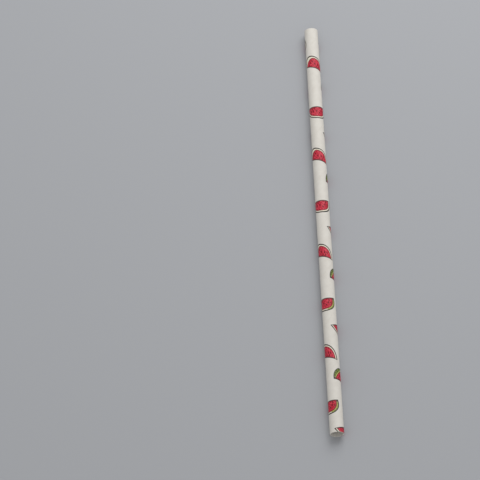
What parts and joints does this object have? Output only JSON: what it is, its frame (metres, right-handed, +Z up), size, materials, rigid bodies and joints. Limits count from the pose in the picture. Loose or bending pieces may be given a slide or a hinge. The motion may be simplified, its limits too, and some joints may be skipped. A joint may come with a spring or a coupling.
{
  "type": "paper drinking straw",
  "caption": "Straight round drinking straw wound from paper strip, open at both square-cut ends, printed with melon slices.",
  "frame": {"origin": "on the table, under the middle of the straw's length, as it lies on its side", "axes": "+Y along the straw's axis, towards the end that is at the top of the picture; +Z up, square to the table"},
  "size_m": [0.006, 0.197, 0.0059],
  "materials": {
    "straw_paper": "matt white kraft paper with a printed outer ply"
  },
  "bodies": {
    "root": {"straw_tube": "straw_paper"}
  },
  "joints": []
}
